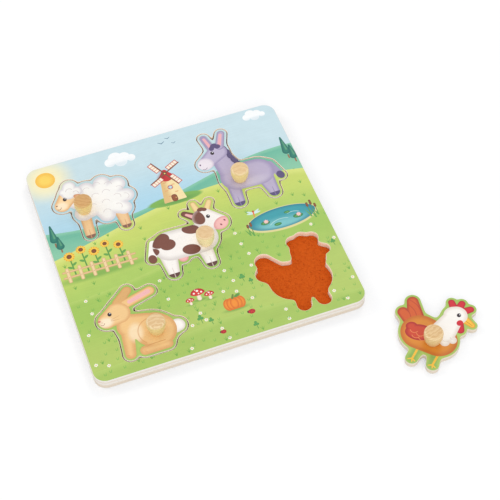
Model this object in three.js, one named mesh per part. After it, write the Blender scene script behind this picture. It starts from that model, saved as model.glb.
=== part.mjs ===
// A wooden tactile puzzle: a square two-layer board with five animal cut-outs, a touch pad of felt, fleece or
// plush on the floor of each cut-out, and five animal pieces that lift out by turned knobs. Four pieces sit
// in their cut-outs, and the hen lies on the table beside the board. Millimetres, +Z up. The origin is the
// centre of the board's underside, with +Y towards the top of the picture that the board carries.
import * as THREE from "three";

// Board, in layers from the table up
const boardSide = 240;
const baseThickness = 5;
const frameThickness = 6;
const cornerRadius = 11;

// Touch pads and pieces
const padThickness = 1;
const pieceThickness = 5;
const cutMargin = 3; // from the animal's figure to its cut-out
const pieceGap = 0.9; // all round a piece in its cut-out
const padGap = 0.4; // all round a pad in its cut-out
const crookSoftness = 1.3; // how far limbs melt together where they meet

// Knob, turned from one piece of wood with its tenon
const knobFootRadius = 5.7;
const knobHeadRadius = 8.1;
const knobTaperHeight = 10; // from the foot to where the side has the head's full width
const knobTaperKnee = 6; // where the line that leaves the foot would meet the head's full width
const knobBandHeight = 2.4; // straight side of the head
const knobEdgeRound = 2.7;
const knobDomeHeight = 0.5;
const tenonRadius = 3;
const tenonGap = 0.15; // all round the tenon in its hole
const tenonRecess = 0.3; // from the tenon's end to the piece's underside

// Where the loose piece lies: from the board's front right corner, and turned clockwise
const looseOffsetX = 39;
const looseOffsetY = 44;
const looseTurn = THREE.MathUtils.degToRad(-42);

// Fineness of the outlines and of round pieces
const outlineStep = 2.6;
const padStep = 3.4;
const cornerSteps = 10;
const roundSteps = 24;
const profileSteps = 3;

// The board's picture is drawn on a grid of 240 squares each way. Each animal is a set of limbs about the
// centre of its cut-out. A limb runs straight from one end circle to the other, and a circle is
// [x, y, radius]. Places are measured from the middle of the board, and a knob's place from the centre of
// its animal. All are in grid squares.
const gridSquare = boardSide / 240;
const animals = {
  sheep: {
    place: [-68, 62],
    knob: [-12, -4],
    colour: 0xf4f1ea,
    limbs: {
      head: [[-21, 17, 8.5], [-29, 8, 7]],
      topknot: [[-20, 20, 7], [-18, 27, 6]],
      neck: [[-10, 6, 11], [-16, 11, 10]],
      withers: [[4, 2, 14], [-4, 19, 7.5]],
      back: [[4, 2, 14], [11, 21, 7.5]],
      croup: [[4, 2, 14], [24, 15, 7.5]],
      rump: [[4, 2, 14], [28, 0, 7.5]],
      flank: [[4, 2, 14], [22, -13, 7.5]],
      belly: [[4, 2, 14], [6, -16, 7.5]],
      chest: [[4, 2, 14], [-13, -7, 8.5]],
      frontLegs: [[-13, -12, 5], [-14, -32, 4.5]],
      hindLegs: [[18, -12, 6], [19, -32, 4.5]],
    },
  },
  donkey: {
    place: [66, 58],
    knob: [-4, -15],
    colour: 0xb9b0c8,
    limbs: {
      body: [[-6, -12, 15], [14, -13, 15]],
      neck: [[-9, -2, 11], [-13, 16, 8.5]],
      head: [[-13, 22, 9], [-28, 12, 7]],
      nearEar: [[-9, 28, 4], [-3, 42, 3.5]],
      farEar: [[-17, 28, 4], [-20, 42, 3.5]],
      frontLegs: [[-12, -20, 6], [-13, -40, 5]],
      hindLegs: [[18, -20, 8], [20, -40, 5]],
      tail: [[27, -8, 3], [32, -24, 3.5]],
    },
  },
  cow: {
    place: [-3, -3],
    knob: [13, -11],
    colour: 0x784a3b,
    limbs: {
      body: [[-17, -4, 16], [10, -5, 16]],
      head: [[20, 15, 10.5], [31, 6, 8.5]],
      nearHorn: [[17, 24, 3], [15.5, 33, 2.5]],
      farHorn: [[25, 23, 3], [30, 31, 2.5]],
      ear: [[12, 19, 4], [5, 25, 3]],
      frontLegs: [[10, -14, 7], [11, -33, 5]],
      hindLegs: [[-22, -12, 8], [-23, -33, 5]],
      udder: [[-10, -17, 5], [-10.5, -20, 4.5]],
      tail: [[-31, 4, 3], [-36, -12, 4]],
    },
  },
  rabbit: {
    place: [-69, -71],
    knob: [11, -16],
    colour: 0xe9b878,
    limbs: {
      haunch: [[9, -14, 17], [11, -16, 17]],
      chest: [[-8, -4, 12], [3, -9, 14]],
      head: [[-15, 12, 11], [-25, 8, 8]],
      nearEar: [[-6, 19, 4.5], [17, 25, 4.5]],
      farEar: [[-12, 22, 4.5], [-1, 32, 4]],
      frontLeg: [[-13, -12, 5.5], [-16, -31, 4.5]],
      hindFoot: [[-3.5, -31.5, 4.5], [16, -31.5, 4.5]],
      tail: [[27, -18, 6], [29, -17, 6.5]],
    },
  },
  hen: {
    place: [74, -73],
    knob: [4, -11],
    colour: 0xd0571c,
    limbs: {
      body: [[-8, -6, 17], [8, -8, 16]],
      upperTail: [[-14, 2, 8], [-24, 21, 5]],
      lowerTail: [[-14, 0, 8], [-28, 8, 5]],
      neck: [[9, 0, 11], [13, 17, 8.5]],
      head: [[13, 20, 9], [15, 21, 9]],
      backComb: [[13, 24, 4], [7, 32, 3]],
      midComb: [[14, 24, 4], [15.5, 34, 3]],
      frontComb: [[16, 24, 4], [24, 31, 3]],
      beak: [[21, 20, 4], [30, 16, 2.5]],
      wattle: [[20, 14, 3], [22, 8, 3.5]],
      nearLeg: [[-5, -20, 4], [-7, -33, 3.5]],
      farLeg: [[9, -20, 4], [11, -33, 3.5]],
    },
  },
};
const looseAnimal = "hen";

const woodColour = 0xe9dcc8;
const printColour = 0xb1cc6f;
const knobColour = 0xe3bd84;

const onGrid = (numbers) => numbers.map((number) => number * gridSquare);

// How far a point is outside one limb.
function limbDistance(point, circles) {
  const [[ax, ay, ar], [bx, by, br]] = circles.map(onGrid);
  const along = new THREE.Vector2(bx - ax, by - ay);
  const offset = new THREE.Vector2(point.x - ax, point.y - ay);
  const share = THREE.MathUtils.clamp(offset.dot(along) / along.lengthSq(), 0, 1);
  return offset.addScaledVector(along, -share).length() - THREE.MathUtils.lerp(ar, br, share);
}

// How far a point is outside the whole figure, whose limbs melt together where they meet.
function figureDistance(point, limbs) {
  const nearness = Object.values(limbs).map((limb) => Math.exp(-limbDistance(point, limb) / crookSoftness));
  return -crookSoftness * Math.log(nearness.reduce((sum, each) => sum + each, 0));
}

// The closed line that runs round the figure at a distance from it, as points a step apart, anticlockwise.
function traceOutline(limbs, distance, step) {
  const probe = 0.01;
  const fieldAt = (x, y) => figureDistance(new THREE.Vector2(x, y), limbs);
  const slopeAt = ({ x, y }) =>
    new THREE.Vector2(
      (fieldAt(x + probe, y) - fieldAt(x - probe, y)) / (2 * probe),
      (fieldAt(x, y + probe) - fieldAt(x, y - probe)) / (2 * probe),
    );
  const seatOnLine = (point) => {
    for (let round = 0; round < 6; round++) {
      const slope = slopeAt(point);
      point.addScaledVector(slope, (distance - fieldAt(point.x, point.y)) / slope.lengthSq());
    }
    return point;
  };
  const [startX, startY, startRadius] = onGrid(Object.values(limbs)[0][0]);
  const loop = [seatOnLine(new THREE.Vector2(startX + startRadius + distance, startY))];
  let here = loop[0];
  do {
    const slope = slopeAt(here).normalize();
    here = seatOnLine(new THREE.Vector2(here.x - slope.y * step, here.y + slope.x * step));
    loop.push(here);
  } while (loop.length < 4 || here.distanceTo(loop[0]) > step);
  if (here.distanceTo(loop[0]) < step / 2) loop.pop();
  return loop;
}

function roundedSquare(side, radius) {
  const half = side / 2;
  const inner = half - radius;
  const shape = new THREE.Shape();
  shape.absarc(inner, inner, radius, 0, Math.PI / 2);
  shape.absarc(-inner, inner, radius, Math.PI / 2, Math.PI);
  shape.absarc(-inner, -inner, radius, Math.PI, 1.5 * Math.PI);
  shape.absarc(inner, -inner, radius, 1.5 * Math.PI, 2 * Math.PI);
  return shape;
}

function circleLoop(x, y, radius) {
  const angles = Array.from({ length: roundSteps }, (_, i) => (2 * Math.PI * i) / roundSteps);
  return angles.map((angle) => new THREE.Vector2(x + radius * Math.cos(angle), y + radius * Math.sin(angle)));
}

function sheet(shape, thickness) {
  const settings = { depth: thickness, bevelEnabled: false, curveSegments: cornerSteps };
  return new THREE.ExtrudeGeometry(shape, settings);
}

// The knob's profile from the tenon's end to the crown, turned about Z. Its foot stands on z = 0.
function knobGeometry() {
  const bandTop = knobTaperHeight + knobBandHeight;
  const crown = bandTop + knobEdgeRound;
  const domeTop = crown + knobDomeHeight;
  const domeRadius = knobHeadRadius - knobEdgeRound;
  const profile = new THREE.Path();
  profile.moveTo(0, tenonRecess - pieceThickness);
  profile.lineTo(tenonRadius, tenonRecess - pieceThickness);
  profile.lineTo(tenonRadius, 0);
  profile.lineTo(knobFootRadius, 0);
  profile.quadraticCurveTo(knobHeadRadius, knobTaperKnee, knobHeadRadius, knobTaperHeight);
  profile.lineTo(knobHeadRadius, bandTop);
  profile.absarc(domeRadius, bandTop, knobEdgeRound, 0, Math.PI / 2);
  profile.quadraticCurveTo(domeRadius / 2, domeTop, 0, domeTop);
  const turned = new THREE.LatheGeometry(profile.getPoints(profileSteps), roundSteps);
  return turned.rotateX(Math.PI / 2);
}

function add(parent, name, geometry, colour, roughness, height) {
  const material = new THREE.MeshStandardMaterial({ color: colour, roughness, metalness: 0 });
  const mesh = new THREE.Mesh(geometry, material);
  mesh.name = name;
  mesh.position.z = height;
  parent.add(mesh);
}

// Outlines of every cut-out, where it lies on the board
const cutOuts = Object.values(animals).map(({ place, limbs }) => {
  const centre = new THREE.Vector2(...onGrid(place));
  return traceOutline(limbs, cutMargin, outlineStep).map((point) => point.add(centre));
});

const puzzle = new THREE.Group();

// Board
const frameShape = roundedSquare(boardSide, cornerRadius);
frameShape.holes = cutOuts.map((loop) => new THREE.Path(loop));
add(puzzle, "base_board", sheet(roundedSquare(boardSide, cornerRadius), baseThickness), woodColour, 0.7, 0);
add(puzzle, "frame_board", sheet(frameShape, frameThickness), printColour, 0.45, baseThickness);

// Touch pads, glued to the floor of each cut-out
for (const [name, { place, limbs, colour }] of Object.entries(animals)) {
  const pocket = new THREE.Group();
  pocket.position.set(...onGrid(place), 0);
  puzzle.add(pocket);
  const pad = sheet(new THREE.Shape(traceOutline(limbs, cutMargin - padGap, padStep)), padThickness);
  add(pocket, `${name}_touch_pad`, pad, colour, 0.95, baseThickness);
}

// Pieces, each with its knob's tenon through it
const seatHeight = baseThickness + padThickness;
for (const [name, { place, knob, limbs }] of Object.entries(animals)) {
  const piece = new THREE.Group();
  if (name === looseAnimal) {
    piece.position.set(boardSide / 2 + looseOffsetX, -boardSide / 2 - looseOffsetY, 0);
    piece.rotation.z = looseTurn;
  } else {
    piece.position.set(...onGrid(place), seatHeight);
  }
  puzzle.add(piece);
  const [knobX, knobY] = onGrid(knob);
  const shape = new THREE.Shape(traceOutline(limbs, cutMargin - pieceGap, outlineStep));
  shape.holes = [new THREE.Path(circleLoop(knobX, knobY, tenonRadius + tenonGap))];
  add(piece, `${name}_piece`, sheet(shape, pieceThickness), printColour, 0.45, 0);
  const turned = knobGeometry().translate(knobX, knobY, 0);
  add(piece, `${name}_knob`, turned, knobColour, 0.5, pieceThickness);
}

export default puzzle;
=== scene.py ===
# %% [markdown]
# # A wooden tactile puzzle
# This lesson dresses a baby's knobbed puzzle: a board of two glued sheets of plywood, five animal pieces
# with turned knobs, and a touch fabric on the floor of each cut-out. The packed solids come first as a
# fixed frame, so every piece made here goes where its solid already is, in metres.

# %% Load the frame
import math
import random
from functools import partialmethod

import bpy
import numpy as np
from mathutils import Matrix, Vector
from mathutils.geometry import delaunay_2d_cdt


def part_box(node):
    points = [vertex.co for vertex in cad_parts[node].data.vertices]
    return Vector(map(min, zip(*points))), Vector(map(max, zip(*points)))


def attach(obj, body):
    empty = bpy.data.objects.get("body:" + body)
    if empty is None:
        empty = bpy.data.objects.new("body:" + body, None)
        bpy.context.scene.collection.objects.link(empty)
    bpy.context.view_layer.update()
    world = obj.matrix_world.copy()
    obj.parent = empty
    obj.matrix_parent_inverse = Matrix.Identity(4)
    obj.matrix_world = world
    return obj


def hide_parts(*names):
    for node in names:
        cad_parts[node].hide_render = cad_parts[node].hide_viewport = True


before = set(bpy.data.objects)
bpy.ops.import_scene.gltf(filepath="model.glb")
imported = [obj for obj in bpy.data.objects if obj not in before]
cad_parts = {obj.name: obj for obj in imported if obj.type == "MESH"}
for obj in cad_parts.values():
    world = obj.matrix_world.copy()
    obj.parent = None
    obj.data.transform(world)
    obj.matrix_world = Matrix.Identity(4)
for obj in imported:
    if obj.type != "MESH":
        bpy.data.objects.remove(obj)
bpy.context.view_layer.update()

MM = 0.001

# %% [markdown]
# ## The drawing
# Cut-outs, pieces, pads and the printed animals all come from one drawing, so print and saw cut agree.
# Each animal is a handful of limbs, and a limb runs straight from one circle to another. A row holds x, y
# and radius of the first circle and then of the second, in millimetres about the centre of the cut-out.

# %% Draw the animals
LIMBS = {
    "sheep": {
        "head": (-21, 17, 8.5, -29, 8, 7), "topknot": (-20, 20, 7, -18, 27, 6),
        "neck": (-10, 6, 11, -16, 11, 10), "withers": (4, 2, 14, -4, 19, 7.5),
        "back": (4, 2, 14, 11, 21, 7.5), "croup": (4, 2, 14, 24, 15, 7.5),
        "rump": (4, 2, 14, 28, 0, 7.5), "flank": (4, 2, 14, 22, -13, 7.5),
        "belly": (4, 2, 14, 6, -16, 7.5), "chest": (4, 2, 14, -13, -7, 8.5),
        "front_legs": (-13, -12, 5, -14, -32, 4.5), "hind_legs": (18, -12, 6, 19, -32, 4.5),
    },
    "donkey": {
        "body": (-6, -12, 15, 14, -13, 15), "neck": (-9, -2, 11, -13, 16, 8.5),
        "head": (-13, 22, 9, -28, 12, 7), "near_ear": (-9, 28, 4, -3, 42, 3.5),
        "far_ear": (-17, 28, 4, -20, 42, 3.5), "front_legs": (-12, -20, 6, -13, -40, 5),
        "hind_legs": (18, -20, 8, 20, -40, 5), "tail": (27, -8, 3, 32, -24, 3.5),
    },
    "cow": {
        "body": (-17, -4, 16, 10, -5, 16), "head": (20, 15, 10.5, 31, 6, 8.5),
        "near_horn": (17, 24, 3, 15.5, 33, 2.5), "far_horn": (25, 23, 3, 30, 31, 2.5),
        "ear": (12, 19, 4, 5, 25, 3), "front_legs": (10, -14, 7, 11, -33, 5),
        "hind_legs": (-22, -12, 8, -23, -33, 5), "udder": (-10, -17, 5, -10.5, -20, 4.5),
        "tail": (-31, 4, 3, -36, -12, 4),
    },
    "rabbit": {
        "haunch": (9, -14, 17, 11, -16, 17), "chest": (-8, -4, 12, 3, -9, 14),
        "head": (-15, 12, 11, -25, 8, 8), "near_ear": (-6, 19, 4.5, 17, 25, 4.5),
        "far_ear": (-12, 22, 4.5, -1, 32, 4), "front_leg": (-13, -12, 5.5, -16, -31, 4.5),
        "hind_foot": (-3.5, -31.5, 4.5, 16, -31.5, 4.5), "tail": (27, -18, 6, 29, -17, 6.5),
    },
    "hen": {
        "body": (-8, -6, 17, 8, -8, 16), "upper_tail": (-14, 2, 8, -24, 21, 5),
        "lower_tail": (-14, 0, 8, -28, 8, 5), "neck": (9, 0, 11, 13, 17, 8.5),
        "head": (13, 20, 9, 15, 21, 9), "back_comb": (13, 24, 4, 7, 32, 3),
        "mid_comb": (14, 24, 4, 15.5, 34, 3), "front_comb": (16, 24, 4, 24, 31, 3),
        "beak": (21, 20, 4, 30, 16, 2.5), "wattle": (20, 14, 3, 22, 8, 3.5),
        "near_leg": (-5, -20, 4, -7, -33, 3.5), "far_leg": (9, -20, 4, 11, -33, 3.5),
    },
}
PLACES = {"sheep": (-68, 62), "donkey": (66, 58), "cow": (-3, -3), "rabbit": (-69, -71), "hen": (74, -73)}
LYING = {name: (place, 0.0) for name, place in PLACES.items()}
LYING["hen"] = ((159, -164), math.radians(-42))
CUT_MARGIN, PIECE_GAP, PAD_GAP = 3.0, 0.9, 0.4
CROOK_SOFTNESS = 1.3
print({name: len(limbs) for name, limbs in LIMBS.items()})

# %% [markdown]
# ## Following an outline
# A saw follows a line at a fixed distance from the printed figure. The distance to a limb is easy to work
# out, and a soft minimum melts the limbs together, so the walker below can step along the line and pull
# itself back onto it after every step. Short steps keep the outline round even in a close-up.

# %% Trace outlines
OUTLINE_STEP, PROBE, SEATING_TRIES, FEWEST_POINTS = 0.9, 0.01, 4, 4


def figure_distance(points, limbs):
    rows = np.array(list(limbs.values()), float)
    start, start_radius, end, end_radius = rows[:, 0:2], rows[:, 2], rows[:, 3:5], rows[:, 5]
    along = end - start
    offset = points[:, None, :] - start
    share = ((offset * along).sum(2) / (along**2).sum(1)).clip(0, 1)
    gap = np.linalg.norm(offset - share[:, :, None] * along, axis=2)
    gap -= start_radius + share * (end_radius - start_radius)
    return -CROOK_SOFTNESS * np.log(np.exp(-gap / CROOK_SOFTNESS).sum(1))


def field_and_slope(point, limbs):
    around = point + PROBE * np.array([[0, 0], [1, 0], [-1, 0], [0, 1], [0, -1]])
    here, right, left, above, below = figure_distance(around, limbs)
    return here, np.array([right - left, above - below]) / (2 * PROBE)


def seat_on_line(point, limbs, distance):
    for _ in range(SEATING_TRIES):
        here, slope = field_and_slope(point, limbs)
        point = point + slope * (distance - here) / (slope @ slope)
    return point


def trace_outline(limbs, distance, step=OUTLINE_STEP):
    x, y, radius = list(limbs.values())[0][:3]
    loop = [seat_on_line(np.array([x + radius + distance, y], float), limbs, distance)]
    while len(loop) < FEWEST_POINTS or np.linalg.norm(loop[-1] - loop[0]) > step:
        slope = field_and_slope(loop[-1], limbs)[1]
        tangent = np.array([-slope[1], slope[0]]) / np.linalg.norm(slope)
        loop.append(seat_on_line(loop[-1] + step * tangent, limbs, distance))
    if np.linalg.norm(loop[-1] - loop[0]) < step / 2:
        loop.pop()
    return np.array(loop)


def rounded_square(side, radius, steps=16):
    reach = side / 2 - radius
    points = []
    for sign_x, sign_y, first in [(1, 1, 0), (-1, 1, 90), (-1, -1, 180), (1, -1, 270)]:
        for angle in np.radians(np.linspace(first, first + 90, steps)):
            x = sign_x * reach + radius * math.cos(angle)
            points.append((x, sign_y * reach + radius * math.sin(angle)))
    return np.array(points)


def circle(centre, radius, steps=48):
    angles = np.linspace(0, 2 * math.pi, steps, endpoint=False)
    return np.array(centre) + radius * np.c_[np.cos(angles), np.sin(angles)]


def placed(points, place, turn=0.0):
    cos, sin = math.cos(turn), math.sin(turn)
    return points @ np.array([[cos, sin], [-sin, cos]]) + np.array(place)


print("hen's cut:", len(trace_outline(LIMBS["hen"], CUT_MARGIN)), "points")

# %% [markdown]
# ## Sawn plates
# The boards and the pieces are flat plates with sanded edges. A 2D curve gives just that: its outline is
# filled, its extrusion is the thickness and its bevel is the sanded round. The outline is drawn in by the
# round first, because the bevel grows outwards. Converting to a mesh and applying the place leaves the
# object at the origin.

# %% Make and clean objects
SMOOTH_ANGLE = math.radians(35)


def new_object(data):
    made = bpy.data.objects.new(data.name, data)
    bpy.context.collection.objects.link(made)
    bpy.ops.object.select_all(action="DESELECT")
    made.select_set(True)
    bpy.context.view_layer.objects.active = made
    return made


def mesh_object(name, verts, edges, faces):
    mesh = bpy.data.meshes.new(name)
    mesh.from_pydata(verts, edges, faces)
    return new_object(mesh)


def clean_mesh(merge_distance=None):
    bpy.ops.object.mode_set(mode="EDIT")
    bpy.ops.mesh.select_all(action="SELECT")
    if merge_distance:
        bpy.ops.mesh.remove_doubles(threshold=merge_distance)
    bpy.ops.mesh.normals_make_consistent(inside=False)
    bpy.ops.object.mode_set(mode="OBJECT")


def levels(node):
    low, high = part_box(node)
    return low.z, high.z


print("the face board lies between", [round(level / MM, 2) for level in levels("frame_board")], "mm")

# %% Saw the boards and the pieces
EDGE_ROUND = 0.25
CORNER_RADIUS = 11.0
TENON_HOLE_RADIUS = 3.15
PLATE_MERGE = 0.00001


def sawn_plate(name, outline, holes, node):
    bottom, top = levels(node)
    curve = bpy.data.curves.new(name, "CURVE")
    curve.dimensions = "2D"
    curve.fill_mode = "BOTH"
    curve.extrude = (top - bottom) / 2 - EDGE_ROUND * MM
    curve.bevel_depth = EDGE_ROUND * MM
    curve.bevel_resolution = 2
    for loop in [outline, *holes]:
        spline = curve.splines.new("POLY")
        spline.points.add(len(loop) - 1)
        for point, (x, y) in zip(spline.points, loop):
            point.co = (x * MM, y * MM, 0, 1)
        spline.use_cyclic_u = True
    plate = new_object(curve)
    plate.location.z = (top + bottom) / 2
    bpy.ops.object.convert(target="MESH")
    bpy.ops.object.transform_apply(location=True, rotation=True, scale=True)
    clean_mesh(PLATE_MERGE)
    bpy.ops.object.shade_smooth_by_angle(angle=SMOOTH_ANGLE)
    return plate


low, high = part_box("base_board")
board_side = (high.x - low.x) / MM
square = rounded_square(board_side - 2 * EDGE_ROUND, CORNER_RADIUS - EDGE_ROUND)
cut_outs = []
for name, limbs in LIMBS.items():
    cut_outs.append(placed(trace_outline(limbs, CUT_MARGIN + EDGE_ROUND), PLACES[name]))
plates = {
    "base_board": sawn_plate("base_plywood", square, [], "base_board"),
    "frame_board": sawn_plate("printed_face_board", square, cut_outs, "frame_board"),
}
knob_centres = {}
for name, limbs in LIMBS.items():
    low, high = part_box(f"{name}_knob")
    knob_centres[name] = (low + high) / 2
    outline = placed(trace_outline(limbs, CUT_MARGIN - PIECE_GAP - EDGE_ROUND), *LYING[name])
    hole = circle([value / MM for value in knob_centres[name].xy], TENON_HOLE_RADIUS + EDGE_ROUND)
    plates[f"{name}_piece"] = sawn_plate(f"{name}_plate", outline, [hole], f"{name}_piece")
for plate in plates.values():
    print(plate.name, len(plate.data.polygons), "faces", [round(x / MM, 2) for x in plate.dimensions])

# %% [markdown]
# ## Which faces are printed
# Only the upper face of the face board and of the pieces carries the print, because sanding takes it off
# the round. The sawn sides are bare plywood, and the underside shows the last veneer. Material slots and
# the direction that each face looks in keep them apart, and the walls of the cut-outs are the sides that
# lie well inside the board. The flat faces are shaded flat, so that the round doesn't bend their light.

# %% Sort the faces of the plates
PRINTED, SAWN, VENEER, CUT_WALL = 0, 1, 2, 3
FLAT, LOOKS_UP, LOOKS_DOWN = 0.99, 0.98, -0.95

for node, plate in plates.items():
    top_slot = VENEER if node == "base_board" else PRINTED
    for polygon in plate.data.polygons:
        upright = polygon.normal.z
        polygon.use_smooth = abs(upright) < FLAT
        polygon.material_index = SAWN
        if upright > LOOKS_UP:
            polygon.material_index = top_slot
        elif upright < LOOKS_DOWN:
            polygon.material_index = VENEER
for polygon in plates["frame_board"].data.polygons:
    inset = board_side / 2 - max(abs(polygon.center.x), abs(polygon.center.y)) / MM
    if polygon.material_index == SAWN and inset > CORNER_RADIUS / 2:
        polygon.material_index = CUT_WALL
walls = [polygon for polygon in plates["frame_board"].data.polygons if polygon.material_index == CUT_WALL]
print("faces of the cut-outs' walls:", len(walls))

# %% [markdown]
# ## Turned knobs
# The knobs are turned on a lathe: the side widens from the foot to a short band, the top edge is well
# rounded, and a tenon below is glued into the piece. A lathe is the spin operator: one profile, from the
# foot of the tenon to the middle of the top, goes once round, and its seam and its poles are merged. The
# round of the edge stops where it has the slope of the dome, so no rim shows between them.

# %% Turn the knobs
FOOT_RADIUS, HEAD_RADIUS, TENON_RADIUS = 5.7, 8.1, 3.0
TAPER_HEIGHT, TAPER_KNEE, BAND_HEIGHT, TOP_ROUND, DOME_HEIGHT = 10.0, 6.0, 2.4, 2.7, 0.5
TENON_LENGTH, TENON_CHAMFER, FOOT_CHAMFER = 4.7, 0.4, 0.25
ROUND_ENDS_AT = 80
TAPER_STEPS, ROUND_STEPS, SPIN_STEPS = 13, 9, 64
KNOB_MERGE = 0.000005


def knob_profile():
    profile = [(0, -TENON_LENGTH), (TENON_RADIUS - TENON_CHAMFER, -TENON_LENGTH)]
    profile += [(TENON_RADIUS, -TENON_LENGTH + TENON_CHAMFER), (TENON_RADIUS, 0)]
    profile += [(FOOT_RADIUS - FOOT_CHAMFER, 0), (FOOT_RADIUS, FOOT_CHAMFER)]
    for t in np.linspace(0, 1, TAPER_STEPS)[1:]:
        radius = HEAD_RADIUS - (HEAD_RADIUS - FOOT_RADIUS) * (1 - t) ** 2
        profile.append((radius, 2 * t * (1 - t) * TAPER_KNEE + t**2 * TAPER_HEIGHT))
    shoulder = TAPER_HEIGHT + BAND_HEIGHT
    for angle in np.radians(np.linspace(0, ROUND_ENDS_AT, ROUND_STEPS)):
        radius = HEAD_RADIUS - TOP_ROUND * (1 - math.cos(angle))
        profile.append((radius, shoulder + TOP_ROUND * math.sin(angle)))
    rim_radius, rim_height = profile[-1]
    dome = shoulder + TOP_ROUND + DOME_HEIGHT - rim_height
    for share in (0.75, 0.5, 0.25, 0):
        profile.append((rim_radius * share, rim_height + dome * (1 - share**2)))
    return profile


def turned_knob(name):
    x, y, foot = *knob_centres[name].xy, levels(f"{name}_piece")[1]
    points = [(x + radius * MM, y, foot + height * MM) for radius, height in knob_profile()]
    edges = [(i, i + 1) for i in range(len(points) - 1)]
    knob = mesh_object(f"{name}_turned_knob", points, edges, [])
    bpy.ops.object.mode_set(mode="EDIT")
    bpy.ops.mesh.select_all(action="SELECT")
    bpy.ops.mesh.spin(steps=SPIN_STEPS, angle=2 * math.pi, center=(x, y, foot), axis=(0, 0, 1))
    clean_mesh(KNOB_MERGE)
    bpy.ops.object.shade_smooth_by_angle(angle=SMOOTH_ANGLE)
    return knob


knobs = {name: turned_knob(name) for name in LIMBS}
size = [round(x / MM, 2) for x in knobs["hen"].dimensions]
print("a knob is", size, len(knobs["hen"].data.polygons), "faces")

# %% [markdown]
# ## Sums in a shader
# A value in a shader is the output of a node, and every sum on it is one more node in the same tree. The
# class below lets us write such sums as on plain numbers. A noise mostly lies between 0.3 and 0.7, so to
# waver means to spread that middle part over a wished range.

# %% Wire up shader nodes
def srgb(red, green, blue):
    shares = [value / 255 for value in (red, green, blue)]
    return (*(s / 12.92 if s <= 0.04045 else ((s + 0.055) / 1.055) ** 2.4 for s in shares), 1.0)


def plug(socket, value):
    if isinstance(value, Value):
        socket.id_data.links.new(value.socket, socket)
    elif value is not None:
        socket.default_value = value


def wire(tree, kind, *inputs, out=0, **settings):
    node = tree.nodes.new("ShaderNode" + kind)
    for name, value in settings.items():
        setattr(node, name, value)
    for socket, value in zip(node.inputs, inputs):
        plug(socket, value)
    return Value(node.outputs[out])


def mixed(tree, share, first, second, blend="MIX"):
    unused = [None] * 5
    return wire(tree, "Mix", share, *unused, first, second, out=2, data_type="RGBA", blend_type=blend)


def noise(point, scale=1.0, detail=3.0, roughness=0.55):
    return wire(point.tree, "TexNoise", point, None, scale, detail, roughness)


print("a mid green is", [round(x, 3) for x in srgb(150, 190, 90)])

# %% Describe a value
NOISE_MIDDLE = (0.3, 0.7)


class Value:
    def __init__(self, socket):
        self.socket = socket
        self.tree = socket.id_data

    def apply(self, operation, *others):
        kind = "VectorMath" if self.socket.type == "VECTOR" else "Math"
        measures = operation in ("DOT_PRODUCT", "LENGTH", "DISTANCE")
        return wire(self.tree, kind, self, *others, operation=operation, out=int(measures))

    __add__ = partialmethod(apply, "ADD")
    __sub__ = partialmethod(apply, "SUBTRACT")
    __mul__ = partialmethod(apply, "MULTIPLY")
    __truediv__ = partialmethod(apply, "DIVIDE")
    __abs__ = partialmethod(apply, "ABSOLUTE")
    times_plus = partialmethod(apply, "MULTIPLY_ADD")
    dot = partialmethod(apply, "DOT_PRODUCT")

    def __rsub__(self, other):
        return wire(self.tree, "Math", other, self, operation="SUBTRACT")

    def scaled(self, factor):
        return wire(self.tree, "VectorMath", self, None, None, factor, operation="SCALE")

    def spread(self, low, high, new_low=0.0, new_high=1.0, smooth=False):
        way = "SMOOTHSTEP" if smooth else "LINEAR"
        ends = [low, high, new_low, new_high]
        return wire(self.tree, "MapRange", self, *ends, interpolation_type=way, clamp=not smooth)

    def waver(self, low=0.0, high=1.0):
        return self.spread(*NOISE_MIDDLE, low, high)

    def mix(self, first, second):
        return mixed(self.tree, self, first, second)

    def tinted(self, tint):
        return mixed(self.tree, 1.0, self, tint, "MULTIPLY")


print("a value can", [name for name in vars(Value) if not name.startswith("_")])

# %% [markdown]
# ## Stencils
# A print is a stack of flat colours, each laid through a stencil. In a shader the stencil can be a
# formula: the distance from a point to the edge of a shape is below zero inside it. Node groups keep these
# formulas, so the print stays sharp however close one looks. The limb is the same formula as the saw's.
# Most others first measure the point along two axes, which turn and stretch the shape. No node here uses
# its clamp option, because Cycles adds a node for each clamp, puts those last, and then has to keep every
# distance of a long print in its small memory at once.

# %% Start, end and use a node group
SOCKET_KINDS = dict.fromkeys(["point", "start", "end", "centre", "across", "up"], "Vector")
SOCKET_KINDS["colour"] = "Color"


def new_group(name, inputs, output="Float"):
    tree = bpy.data.node_groups.new(name, "ShaderNodeTree")
    for label in inputs:
        kind = SOCKET_KINDS.get(label, "Float")
        tree.interface.new_socket(label, in_out="INPUT", socket_type="NodeSocket" + kind)
    tree.interface.new_socket("result", in_out="OUTPUT", socket_type="NodeSocket" + output)
    given = tree.nodes.new("NodeGroupInput").outputs
    return tree, [Value(given[label]) for label in inputs]


def end_group(tree, result):
    plug(tree.nodes.new("NodeGroupOutput").inputs[0], result)


def use_group(tree, name, *inputs):
    node = tree.nodes.new("ShaderNodeGroup")
    node.node_tree = bpy.data.node_groups[name]
    for socket, value in zip(node.inputs, inputs):
        plug(socket, value)
    return Value(node.outputs[0])


print("inputs that aren't numbers:", sorted(SOCKET_KINDS))

# %% Make a stencil for each kind of shape
AXES = ["point", "centre", "across", "up"]


def along_axes(point, centre, across, up):
    offset = point - centre
    return offset.dot(across), offset.dot(up)


def length_of(x, y):
    return x.times_plus(x, y * y).apply("SQRT")


def limb(point, start, end, start_radius, end_radius):
    offset = point - start
    along = end - start
    share = offset.dot(along) / along.dot(along)
    share = share.apply("MAXIMUM", 0.0).apply("MINIMUM", 1.0)
    gap = offset.apply("DISTANCE", along.scaled(share))
    return gap - share.times_plus(end_radius - start_radius, start_radius)


def oval(*given):
    *axes, least_radius = given
    return (length_of(*along_axes(*axes)) - 1.0) * least_radius


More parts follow.
